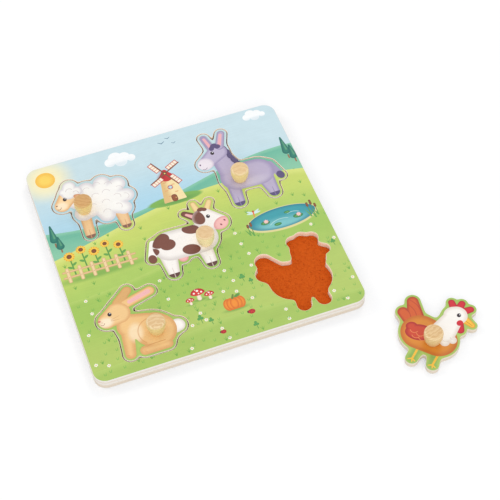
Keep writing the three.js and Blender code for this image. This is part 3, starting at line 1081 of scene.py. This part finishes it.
# %% [markdown]
# ## Varnish over the print
# The print lies under a satin water varnish. Close up one sees a little of the grain of the veneer below
# and the fine unevenness that a roller leaves, so both the tint and the roughness waver, and a slight bump
# breaks the gloss. The bumps of all materials here are given in metres.

# %% Varnish the prints
VARNISH_BUMP = 0.00002
BOARD_MOTIFS = [print_landscape, print_grass, print_sky, print_cypresses, print_windmill, print_pond,
                print_reeds, print_dragonfly, print_fence, print_garden]
PAINTERS = dict(zip(LIMBS, [print_sheep, print_donkey, print_cow, print_rabbit, print_hen]))


def finish_surface(colour, roughness, height, bump, bump_strength=0.6, **constants):
    nodes = colour.tree.nodes
    surface = nodes["Principled BSDF"].inputs
    relief = nodes.new("ShaderNodeBump")
    for label, value in {"Strength": bump_strength, "Distance": bump, "Height": height}.items():
        plug(relief.inputs[label], value)
    plug(surface["Normal"], Value(relief.outputs["Normal"]))
    plug(surface["Base Color"], colour)
    plug(surface["Roughness"], roughness)
    for label, value in constants.items():
        plug(surface[label.replace("_", " ")], value)


def varnish(art):
    grain = noise(art.board_point * (0.035, 1.1, 0), 1.0, 4.0)
    cloudy = noise(art.board_point, 0.09, 2.0)
    tint = grain.waver(0.965, 1.02) * cloudy.waver(0.98, 1.02)
    colour = art.colour.tinted(tint)
    peel = noise(art.board_point, 1.4, 2.0)
    roughness = peel.waver(0.4, 0.5)
    height = grain.times_plus(0.6, peel)
    finish_surface(colour, roughness, height, VARNISH_BUMP, 0.4, Specular_IOR_Level=0.35)
    return art.material


art = Print("printed_farm_landscape")
for draw in BOARD_MOTIFS:
    art.motif(draw, art.board_point)
prints = {"frame_board": varnish(art)}
for name, paint_animal in PAINTERS.items():
    art = Print(f"printed_{name}", *LYING[name], home=PLACES[name])
    art.motif(print_landscape, art.board_point)
    art.motif(paint_animal, art.figure_point)
    prints[f"{name}_piece"] = varnish(art)
print("motifs:", {draw.__name__: len(bpy.data.node_groups[draw.__name__].nodes) for draw in BOARD_MOTIFS})

# %% [markdown]
# ## Plywood
# Birch plywood is three veneers here, the middle one turned across the others. On a sawn edge the outer
# veneers show long streaks and the middle one shows end grain, with thin glue lines between. The height of
# a point tells which veneer it is in, and the face veneer below shows straight grain with short flecks.
# The outer edges are a little greyer and the base is of a warmer sheet, while the walls of the cut-outs
# are painted paler and warmer, as painted light and a painted warm reflection of the felt. So each gets
# tones
# of its own: two for the outer veneers, one for end grain and one for glue.

# %% Make the plywood
EDGE_TONES = [(233, 229, 222), (229, 219, 206), (221, 206, 187), (200, 177, 150)]
BASE_TONES = [(227, 217, 202), (222, 208, 189), (216, 198, 175), (192, 166, 136)]
# The walls of the cut-outs are painted paler and warmer: painted light and a painted warm reflection of
# the felt.
PAINTED_LIGHT_WALL_TONES = [(253, 236, 216), (249, 227, 203), (244, 218, 190), (226, 186, 152)]
VENEER_TONES = [(238, 221, 196), (226, 202, 168), (206, 174, 134), (176, 138, 98)]
VENEERS = 3.0
EDGE_BUMP, VENEER_BUMP = 0.00006, 0.00005


def bare_material(name):
    material, tree = new_material(name)
    point = wire(tree, "TexCoord", out=3) * (1 / MM, 1 / MM, 1 / MM)
    return material, tree, point


def sawn_edge(name, node, tones):
    pale, warm, end, glued = [srgb(*tone) for tone in tones]
    bottom, top = levels(node)
    material, tree, point = bare_material(name)
    veneer = wire(tree, "SeparateXYZ", point, out=2).spread(bottom / MM, top / MM, 0.0, VENEERS)
    veneer = veneer + noise(point * (0.3, 0.3, 0), 1.0, 2.0).waver(-0.05, 0.05)
    from_middle = abs(veneer - VENEERS / 2)
    core = from_middle.spread(0.53, 0.47)
    streaks = noise(point * (0.3, 0.3, 7), 1.0, 4.0, 0.6)
    end_grain = noise(point * (3.2, 3.2, 1.4), 1.0, 3.0, 0.7)
    outer_colour = streaks.spread(0.35, 0.7).mix(pale, warm)
    core_colour = end_grain.spread(0.35, 0.65).mix(warm, end)
    colour = core.mix(outer_colour, core_colour)
    glue = abs(from_middle - 0.5).spread(0.055, 0.02)
    colour = (glue * 0.55).mix(colour, glued)
    roughness = end_grain.waver(0.62, 0.78)
    finish_surface(colour, roughness, core * end_grain + streaks, EDGE_BUMP)
    return material


def face_veneer(name, tones):
    pale, warm, grain, fleck = [srgb(*tone) for tone in tones]
    material, tree, point = bare_material(name)
    wavy = noise(point, 0.02, 2.0)
    sideways = wire(tree, "CombineXYZ", 0.0, 1.0, 0.0)
    bent = point + sideways.scaled(wavy * 18.0)
    broad = noise(bent * (0.006, 0.16, 0), 1.0, 3.0)
    fine = noise(bent * (0.03, 1.6, 0), 1.0, 4.0, 0.6)
    flecks = noise(point * (0.22, 3.4, 0), 1.0, 1.0).spread(0.68, 0.76)
    colour = broad.waver().mix(pale, warm)
    colour = (fine.spread(0.4, 0.75) * 0.5).mix(colour, grain)
    colour = (flecks * 0.45).mix(colour, fleck)
    finish_surface(colour, fine.waver(0.55, 0.7), fine, VENEER_BUMP)
    return material


veneer_finish = face_veneer("bare_birch_veneer", VENEER_TONES)
sawn = {}
for node, plate in plates.items():
    heights = tuple(round(height / MM, 2) for height in levels(node))
    if heights not in sawn:
        tones = BASE_TONES if node == "base_board" else EDGE_TONES
        sawn[heights] = sawn_edge(f"sawn_plywood_{len(sawn) + 1}", node, tones)
    for material in (prints.get(node, veneer_finish), sawn[heights], veneer_finish):
        plate.data.materials.append(material)
# The walls of the cut-outs take the paler tones, which are painted light.
plates["frame_board"].data.materials.append(sawn_edge("cut_out_walls_painted_light", "frame_board", PAINTED_LIGHT_WALL_TONES))
print("plywood edges at heights", sorted(sawn))

# %% [markdown]
# ## Wood for the knobs
# These knobs are turned across the grain. The growth rings lie in the block as gently curved layers: the
# top cuts them at a slant and shows broad stripes, and the side shows them as arcs. Rings measured about a
# lying line, the pith of the tree, give both at once. Each knob has its own heading of the grain, place of
# the pith, strength of the rings and tints of top and side, because no two come from one spot; the side
# tints of the rabbit and the hen also hold painted shade. The side is painted lighter than the top, as
# painted light from the front, and the round of the top edge is a pale painted highlight.

# %% Finish the knobs
RING_WIDTH, RING_WARP = 1.9, 6.0
SIDE_TO_HIGHLIGHT, HIGHLIGHT_TO_TOP = (0.05, 0.55), (0.76, 0.985)
KNOB_BUMP = 0.00004
# The side tones are painted light, lighter than the top, and the round tone is a painted highlight.
PAINTED_LIGHT_SIDE_TONES, TOP_TONES = [(255, 239, 193), (251, 228, 178)], [(242, 213, 168), (234, 201, 152)]
HIGHLIGHT_ROUND_TONE, RING_TONE, PORE_TONE = (249, 225, 181), (214, 172, 116), (178, 132, 84)
# The side tints of the rabbit and the hen also darken their sides as painted shade.
KNOB_WOOD = {
    "sheep": (-32, (-17, -9), 0.55, (230, 205, 166), (253, 238, 200)),
    "donkey": (-16, (13, -15), 0.4, (250, 247, 237), (253, 243, 217)),
    "cow": (-22, (-11, -19), 0.3, (248, 243, 235), (255, 254, 252)),
    "rabbit": (-8, (16, -12), 0.6, (252, 250, 244), (235, 228, 198)),
    "hen": (17, (-18, -8), 0.6, (248, 242, 229), (230, 216, 198)),
}


def stained(tint, tone):
    return srgb(*(value * share / 255 for value, share in zip(tone, tint)))


def turned_wood(name, heading, pith, rings, top_tint, side_tint_and_shade):
    material, tree, point = bare_material(f"turned_wood_{name}")
    foot = [value / MM for value in (*knob_centres[name].xy, levels(f"{name}_piece")[1])]
    local = point - foot
    cos, sin = math.cos(math.radians(heading)), math.sin(math.radians(heading))
    along, across = local.dot((cos, sin, 0)), local.dot((-sin, cos, 0))
    grained = wire(tree, "CombineXYZ", along, across, local.dot((0, 0, 1)))
    warp = noise(grained * (0.09, 0.2, 0.2), 1.0, 2.0)
    from_pith = (grained - (0, *pith)) * (0, 1, 1)
    ring = (warp.times_plus(RING_WARP, from_pith.apply("LENGTH")) / RING_WIDTH).apply("FRACT")
    late = ring.spread(0.1, 0.8, smooth=True) * ring.spread(1.0, 0.8)
    streaks = noise(grained * (0.12, 2.2, 2.2), 1.0, 4.0, 0.6)
    pores = noise(grained * (0.5, 6, 6), 1.0, 1.0).spread(0.64, 0.74)
    upright = wire(tree, "TexCoord", out=1).dot((0, 0, 1))
    grainy = streaks.waver()
    lit_side_colour = grainy.mix(*(stained(side_tint_and_shade, tone) for tone in PAINTED_LIGHT_SIDE_TONES))
    top_colour = grainy.mix(*(stained(top_tint, tone) for tone in TOP_TONES))
    # Painted light: the side is lighter than the top, and the round between them is a pale painted
    # highlight.
    colour = upright.spread(*SIDE_TO_HIGHLIGHT, smooth=True).mix(lit_side_colour, stained(top_tint, HIGHLIGHT_ROUND_TONE))
    colour = upright.spread(*HIGHLIGHT_TO_TOP, smooth=True).mix(colour, top_colour)
    ring_depth = late * upright.spread(0.0, 0.6, rings * 0.6, rings)
    colour = ring_depth.mix(colour, stained(top_tint, RING_TONE))
    colour = (pores * 0.3).mix(colour, stained(top_tint, PORE_TONE))
    finish_surface(colour, streaks.waver(0.42, 0.55), streaks * 0.4 - pores, KNOB_BUMP)
    return material


for name, knob in knobs.items():
    knob.data.materials.append(turned_wood(name, *KNOB_WOOD[name]))
print("knobs finished:", len(knobs))

# %% [markdown]
# ## Touch fabrics
# A cut piece of fabric is glued to the floor of each cut-out: felt under the hen and the donkey, fleece
# under the sheep, plush under the cow and the rabbit. The backing is a thin, slightly uneven sheet, filled
# by triangles from its outline and given its thickness by Solidify. A glued sheet stays flat, so no cloth
# simulation is needed.

# %% Cut the backings
FLOOR_LEVEL = levels("base_board")[1] / MM
BACKINGS = {"sheep": 0.42, "donkey": 0.66, "cow": 0.42, "rabbit": 0.42, "hen": 0.74}
RIM_STEP, FABRIC_STEP, FABRIC_JITTER = 1.3, 2.6, 0.6
FABRIC_EDGE = CUT_MARGIN - PAD_GAP
INNER_CLEARANCE, FIBRE_CLEARANCE = 1.2, 0.9
RIPPLE, RIPPLE_PACE, GLUE = 0.03, (0.9, 0.7), 0.05
FILL_INSIDE, FILL_ROUNDING = 1, 0.0001
FABRIC_SEED = 11

rims = {name: trace_outline(limbs, FABRIC_EDGE, RIM_STEP) for name, limbs in LIMBS.items()}
fabric_tops = {name: FLOOR_LEVEL + thickness for name, thickness in BACKINGS.items()}


def jittered(value):
    return value + random.uniform(-FABRIC_JITTER, FABRIC_JITTER)


def cut_backing(name):
    rim, low, high = rims[name], rims[name].min(0), rims[name].max(0)
    columns, rows = [np.arange(low[axis], high[axis], FABRIC_STEP) for axis in (0, 1)]
    inner = np.array([(jittered(x), jittered(y)) for x in columns for y in rows])
    inner = inner[figure_distance(inner, LIMBS[name]) < FABRIC_EDGE - INNER_CLEARANCE]
    flat = [Vector(point) for point in np.vstack([rim, inner]) + np.array(PLACES[name], float)]
    border = list(range(len(rim)))
    points, _, triangles, *_ = delaunay_2d_cdt(flat, [], [border], FILL_INSIDE, FILL_ROUNDING)
    verts = []
    for x, y in points:
        z = fabric_tops[name] + RIPPLE * math.sin(x * RIPPLE_PACE[0]) * math.cos(y * RIPPLE_PACE[1])
        verts.append((x * MM, y * MM, z * MM))
    backing = mesh_object(f"{name}_fabric", verts, [], triangles)
    solidify = backing.modifiers.new("thickness", "SOLIDIFY")
    solidify.thickness = (BACKINGS[name] - GLUE) * MM
    solidify.offset = -1
    bpy.ops.object.modifier_apply(modifier=solidify.name)
    bpy.ops.object.shade_smooth_by_angle(angle=SMOOTH_ANGLE)
    return backing


random.seed(FABRIC_SEED)
backings = {name: cut_backing(name) for name in LIMBS}
for name, backing in backings.items():
    size = [round(x / MM, 2) for x in backing.dimensions]
    print(name, "backing", size, len(backing.data.polygons), "faces")

# %% [markdown]
# ## Fibres
# What a finger feels is the pile. Felt is a tangle of lying fibres, fleece is a mass of small curls and
# plush is short hair combed one way. Each fibre is a path of a few points, and a three-sided tube follows
# it, so a thousand of them stay light. A seated piece rests on the pile, so all of it stays below the
# underside of the pieces.

# %% Spin the fibres
SIDES = 3
TUBE_CORNERS = (math.pi / 2, 7 * math.pi / 6, -math.pi / 6)
TIP_SHARE, SPARE_SPOTS, TINY = 0.45, 4, 1e-9


def scattered_spots(name, count, seed):
    dice = np.random.default_rng(seed)
    low, high = rims[name].min(0), trace_outline(LIMBS[name], CUT_MARGIN, RIM_STEP).max(0)
    spots = dice.uniform(low, high, (count * SPARE_SPOTS, 2))
    spots = spots[figure_distance(spots, LIMBS[name]) < FABRIC_EDGE - FIBRE_CLEARANCE][:count]
    return spots + np.array(PLACES[name]), dice, (len(spots), 1)


def tubes(name, spots, reach, angle, height, thick):
    x, y = spots[:, :1] + reach * np.cos(angle), spots[:, 1:] + reach * np.sin(angle)
    paths = np.stack([x, y, height], axis=2)
    count, steps = paths.shape[:2]
    along = np.gradient(paths, axis=1)
    along /= np.linalg.norm(along, axis=2, keepdims=True)
    side = np.cross(along, (0.0, 0.0, 1.0))
    side /= np.linalg.norm(side, axis=2, keepdims=True) + TINY
    over = np.cross(side, along)
    taper = thick * np.linspace(1.0, TIP_SHARE, steps)[None, :, None]
    rings = [paths + taper * (math.cos(turn) * side + math.sin(turn) * over) for turn in TUBE_CORNERS]
    verts = np.stack(rings, axis=2).reshape(-1, 3) * MM
    faces = []
    for first in range(0, count * steps * SIDES, steps * SIDES):
        last = first + (steps - 1) * SIDES
        for low in range(first, last, SIDES):
            for k in range(SIDES):
                turn = (k + 1) % SIDES
                faces.append((low + k, low + turn, low + SIDES + turn, low + SIDES + k))
        faces += [(first + 2, first + 1, first), (last, last + 1, last + 2)]
    fibres = mesh_object(name, verts.tolist(), [], faces)
    clean_mesh()
    bpy.ops.object.shade_smooth()
    return fibres


print("a fibre has", SIDES, "sides and tapers to", TIP_SHARE)

# %% Grow the pile
FELT_THICK, CURL_THICK, HAIR_THICK = 0.05, 0.15, 0.07
FELT_LENGTH, FELT_BEND, FELT_ARCH = (1.4, 3.2), (-1.8, 1.8), (0.02, 0.1)
CURL_REACH, CURL_TURNS, CURL_RISE = (0.7, 1.05), 1.4, 0.3
HAIR_LENGTH, HAIR_RISE, HAIR_SPREAD = (1.2, 1.9), (0.28, 0.46), 0.35


def felt_fibres(name, count, seed):
    spots, dice, each = scattered_spots(name, count, seed)
    t = np.linspace(-0.5, 0.5, 6)
    heading = dice.uniform(0, 2 * math.pi, each)
    length = dice.uniform(*FELT_LENGTH, each)
    bend = dice.uniform(*FELT_BEND, each)
    arch = dice.uniform(*FELT_ARCH, each)
    height = fabric_tops[name] + arch * np.cos(math.pi * t) * 1.4 - 0.03
    return tubes(f"{name}_felt_fibres", spots, length * t, heading + bend * t, height, FELT_THICK)


def fleece_curls(name, count, seed):
    spots, dice, each = scattered_spots(name, count, seed)
    t = np.linspace(0, 1, 11)
    start = dice.uniform(0, 2 * math.pi, each)
    way = dice.choice([-1.0, 1.0], each)
    reach = (0.95 - 0.7 * t) * dice.uniform(*CURL_REACH, each)
    height = fabric_tops[name] + 0.02 + CURL_RISE * t + dice.uniform(-0.04, 0.02, each)
    angle = start + way * t * 2 * math.pi * CURL_TURNS
    return tubes(f"{name}_fleece_curls", spots, reach, angle, height, CURL_THICK)


def plush_hair(name, count, seed, combed):
    spots, dice, each = scattered_spots(name, count, seed)
    t = np.linspace(0, 1, 4)
    angle = math.radians(combed) + dice.normal(0, HAIR_SPREAD, each)
    length = dice.uniform(*HAIR_LENGTH, each)
    height = fabric_tops[name] - 0.04 + dice.uniform(*HAIR_RISE, each) * np.sin(t * math.pi / 2)
    return tubes(f"{name}_plush_hair", spots, length * t, angle, height, HAIR_THICK)


pile = {
    "sheep": fleece_curls("sheep", 1900, 31),
    "donkey": felt_fibres("donkey", 3200, 32),
    "cow": plush_hair("cow", 5200, 33, combed=-70),
    "rabbit": plush_hair("rabbit", 4800, 34, combed=-110),
    "hen": felt_fibres("hen", 3600, 35),
}
for fibres in pile.values():
    top = max(v.co.z for v in fibres.data.vertices) / MM
    print(fibres.name, len(fibres.data.polygons), "faces, top at", round(top, 3), "mm")

# %% [markdown]
# ## Colours of the fabrics
# Felt is dyed unevenly, so its colour is mottled at two scales and each fibre is a little lighter or
# darker. The fabrics scatter light at a grazing look, which is what sheen is for. Sheen and its tint are
# the same all over, so they are set on the shader itself.

# %% Dye the fabrics
FABRICS = {
    "sheep": ("white_fleece", (255, 253, 248), (248, 243, 235)),
    "donkey": ("lilac_felt", (184, 168, 206), (162, 146, 188)),
    "cow": ("brown_plush", (132, 84, 66), (96, 58, 46)),
    "rabbit": ("tan_plush", (250, 211, 150), (230, 182, 120)),
    "hen": ("orange_felt", (210, 90, 15), (202, 84, 10)),
}
FELT_NAP, PILE_NAP = 0.04, 0.25


def dyed_fabric(slot, light, deep):
    material, tree, point = bare_material(f"{slot}_dyed")
    broad = noise(point, 0.12, 3.0)
    fine = noise(point, 1.3, 4.0, 0.7)
    strand = wire(tree, "NewGeometry", out=8)
    mottle = broad * 0.5 + fine * 0.5
    colour = mottle.spread(0.36, 0.64).mix(srgb(*deep), srgb(*light))
    colour = colour.tinted(strand.spread(0.0, 1.0, 0.96, 1.04))
    nap = FELT_NAP if "felt" in slot else PILE_NAP
    finish_surface(colour, fine.waver(0.85, 0.98), fine, nap * MM, 0.7, Sheen_Weight=0.12,
                   Sheen_Tint=srgb(*light), Sheen_Roughness=0.5, Specular_IOR_Level=0.2)
    return material


for name, fabric in FABRICS.items():
    dyed = dyed_fabric(*fabric)
    backings[name].data.materials.append(dyed)
    pile[name].data.materials.append(dyed)
print("fabrics:", [slot for slot, light, deep in FABRICS.values()])

# %% [markdown]
# ## Tying the pieces to the frame
# Each visible piece rides on a body and, apart from the pile, takes the place of a packed solid.

# %% Tie everything to its body
def tie(piece, body, node=None):
    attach(piece, body)
    if node:
        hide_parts(node)


tie(plates["base_board"], "board", "base_board")
tie(plates["frame_board"], "board", "frame_board")
for name, (slot, light, deep) in FABRICS.items():
    tie(plates[f"{name}_piece"], name, f"{name}_piece")
    tie(knobs[name], name, f"{name}_knob")
    tie(pile[name], "board")
    tie(backings[name], "board", f"{name}_touch_pad")

# %% [markdown]
# ## Floor, light and camera
# The puzzle lies on a plain white sweep. A white world gives most of the light. Two large lamps behind,
# the right one stronger, give the soft shadow at the front and at the sides. A low one in front brightens
# the sawn edges and the fronts of the knobs, yet only grazes the floor. For the camera and for
# reflections, a part of the floor's white is its own glow, tinted so that the open floor is just white and
# its shadow stays grey.

# %% Lay the floor
SEEN_RAYS = ("Camera", "Glossy", "Transmission")
FLOOR_SIZE, FLOOR_SINK = 12, 0.00005
FLOOR_PAPER = (246, 249, 253)
FLOOR_SEEN = (0.92, 0.80, 0.68, 1.0)
FLOOR_GLOW = (0.088, 0.206, 0.324, 1.0)


def seen_share(tree):
    path = tree.nodes.new("ShaderNodeLightPath").outputs
    camera, glossy, through = [Value(path[f"Is {ray} Ray"]) for ray in SEEN_RAYS]
    return camera.apply("MAXIMUM", glossy.apply("MAXIMUM", through))


bpy.ops.object.select_all(action="DESELECT")
bpy.ops.mesh.primitive_plane_add(size=FLOOR_SIZE, location=(0, 0, -FLOOR_SINK))
floor = bpy.context.object
floor.name = "white_sweep"
white_paper, tree = new_material("white_paper")
tree.nodes.remove(tree.nodes["Principled BSDF"])
seen = seen_share(tree)
paper = wire(tree, "BsdfDiffuse", seen.mix(srgb(*FLOOR_PAPER), FLOOR_SEEN))
glow = wire(tree, "Emission", FLOOR_GLOW, seen)
plug(tree.nodes["Material Output"].inputs["Surface"], wire(tree, "AddShader", paper, glow))
floor.data.materials.append(white_paper)
print("floor", [round(x, 2) for x in floor.dimensions])

# %% Set the light and the camera
WORLD_LIGHT, WORLD_TONE = 0.83, (252, 253, 255)
LAMPS = {
    "far_right_lamp": ((1.4, 1.7, 2.4), 1.1, 10.5),
    "far_left_lamp": ((-1.9, 1.6, 1.7), 1.3, 9.0),
    "front_lamp": ((-0.4, -2.8, 1.3), 2.6, 25.0),
}
CAMERA_PLACE = (-0.18084, -0.73325, 0.99594)
CAMERA_TURN = (36.608, 1.458, -19.776)
LENS, SENSOR_WIDTH = 101.6, 36

scene = bpy.context.scene
scene.view_settings.view_transform = "Standard"
scene.world = bpy.data.worlds.new("white_studio")
scene.world.use_nodes = True
studio = scene.world.node_tree
background = studio.nodes["Background"].inputs
background["Color"].default_value = srgb(*WORLD_TONE)
plug(background["Strength"], seen_share(studio).spread(0.0, 1.0, WORLD_LIGHT, 1.0))

for name, (place, size, power) in LAMPS.items():
    bpy.ops.object.light_add(type="AREA", location=place)
    lamp = bpy.context.object
    lamp.name = name
    lamp.data.size = size
    lamp.data.energy = power
    lamp.rotation_euler = (-Vector(place)).to_track_quat("-Z", "Y").to_euler()

bpy.ops.object.camera_add(location=CAMERA_PLACE, rotation=[math.radians(angle) for angle in CAMERA_TURN])
camera = bpy.context.object
camera.data.lens = LENS
camera.data.sensor_width = SENSOR_WIDTH
scene.camera = camera
print("camera at", [round(x, 3) for x in camera.location], "with a", LENS, "mm lens")

# %% [markdown] The visible puzzle is meant to be no bigger than its solids, apart from a little fabric.
